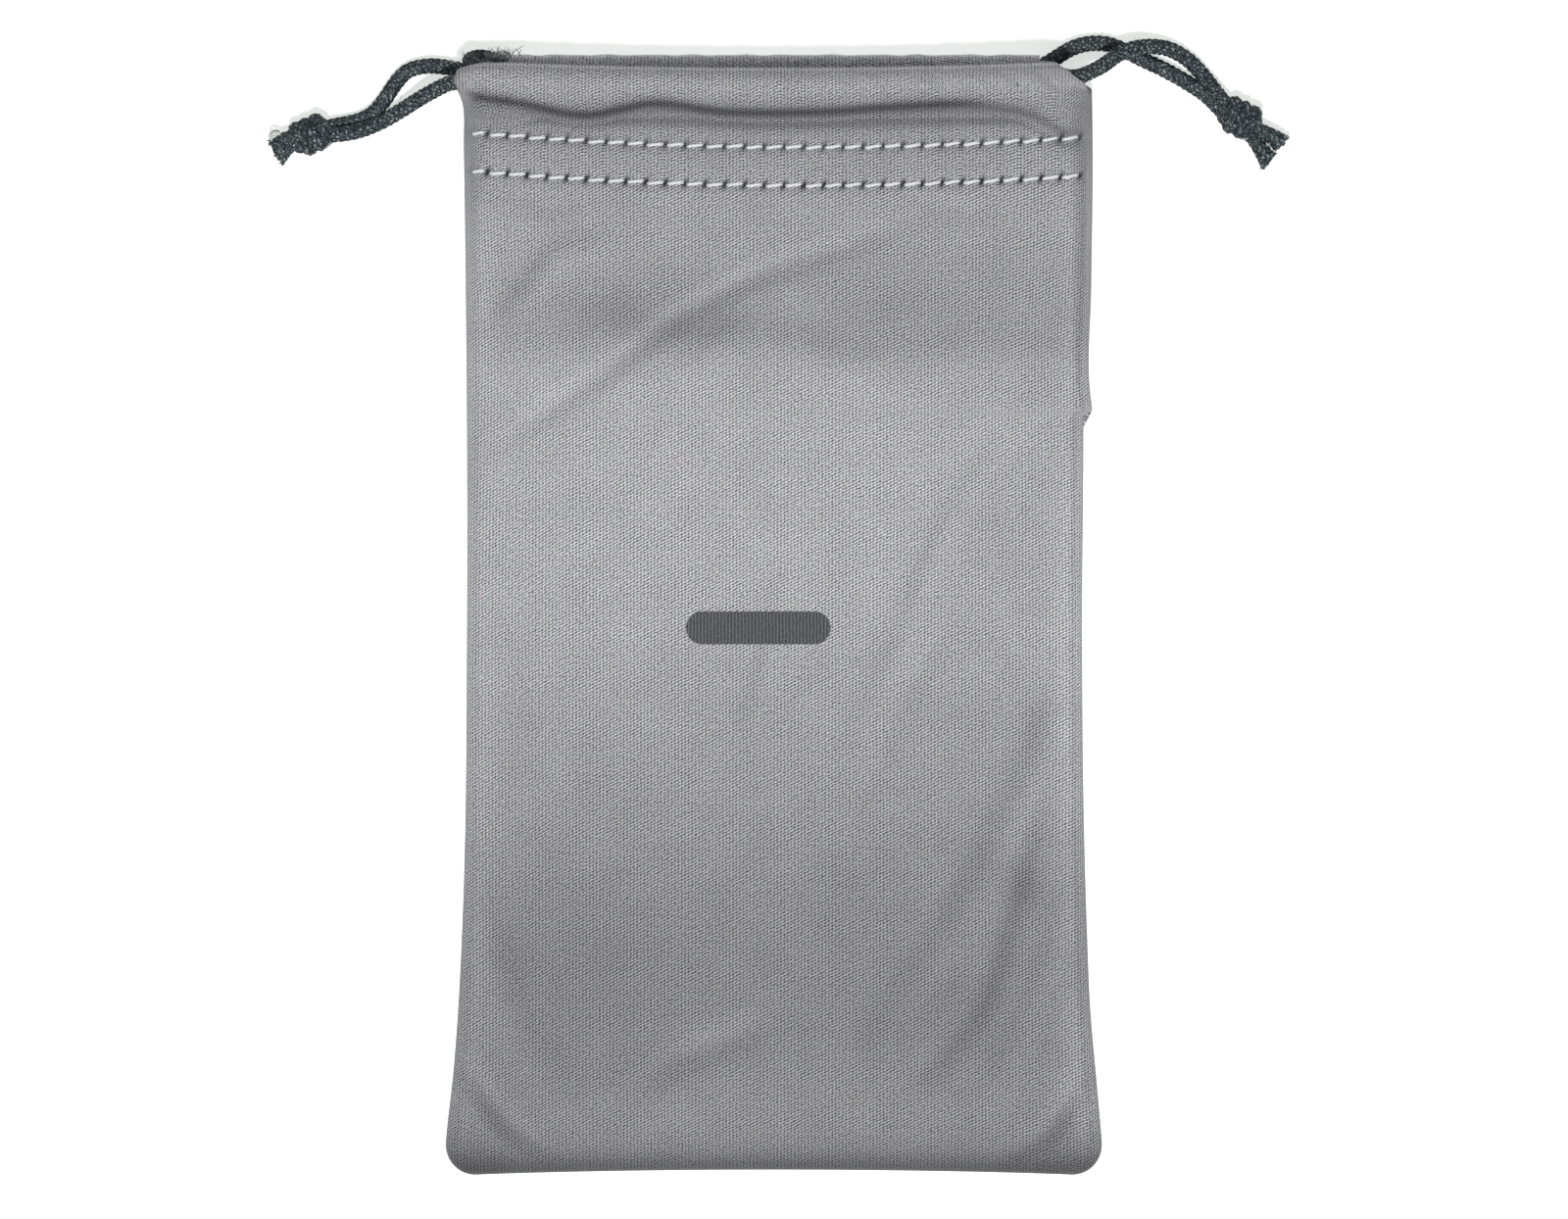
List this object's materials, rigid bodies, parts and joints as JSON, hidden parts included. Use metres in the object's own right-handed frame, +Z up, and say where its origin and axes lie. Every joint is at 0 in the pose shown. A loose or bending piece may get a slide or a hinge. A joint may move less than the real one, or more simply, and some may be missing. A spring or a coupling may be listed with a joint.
{
  "type": "drawstring pouch",
  "caption": "Flat-lying soft microfibre pouch with a hemmed mouth, stitched cord tunnels and a drawcord with a stopper knot at each side.",
  "frame": {"origin": "middle of the pouch's footprint, on the surface it lies on", "axes": "+Y towards the mouth, +X to the right seen from above, +Z up out of the front panel"},
  "size_m": [0.1554, 0.1738, 0.0124],
  "materials": {
    "microfibre": "matt warp-knit microfibre",
    "microfibre_inside": "matt warp-knit microfibre, wrong side",
    "thread": "polyester sewing thread, slight sheen",
    "drawcord_braid": "round braided polyester cord",
    "print_ink": "matt screen-print ink"
  },
  "bodies": {
    "pouch": {"back_panel": "microfibre", "front_panel": "microfibre", "left_seam_allowance": "microfibre_inside", "right_seam_allowance": "microfibre_inside", "bottom_seam_allowance": "microfibre_inside", "left_seam_stitches": "thread", "right_seam_stitches": "thread", "bottom_seam_stitches": "thread", "front_hem_upper_stitches": "thread", "front_hem_lower_stitches": "thread", "back_hem_upper_stitches": "thread", "back_hem_lower_stitches": "thread", "printed_bar": "print_ink"},
    "left_cord": {"left_drawcord": "drawcord_braid", "left_knot": "drawcord_braid", "left_cord_ends": "drawcord_braid"},
    "right_cord": {"right_drawcord": "drawcord_braid", "right_knot": "drawcord_braid", "right_cord_ends": "drawcord_braid"}
  },
  "joints": [
    {"name": "left_cord_pull", "type": "slide", "parent": "pouch", "child": "left_cord", "axis": [-1, 0, 0], "range_m": [0, 0.034], "deforming": ["left_drawcord"]},
    {"name": "right_cord_pull", "type": "slide", "parent": "pouch", "child": "right_cord", "axis": [1, 0, 0], "range_m": [0, 0.034], "deforming": ["right_drawcord"]}
  ]
}
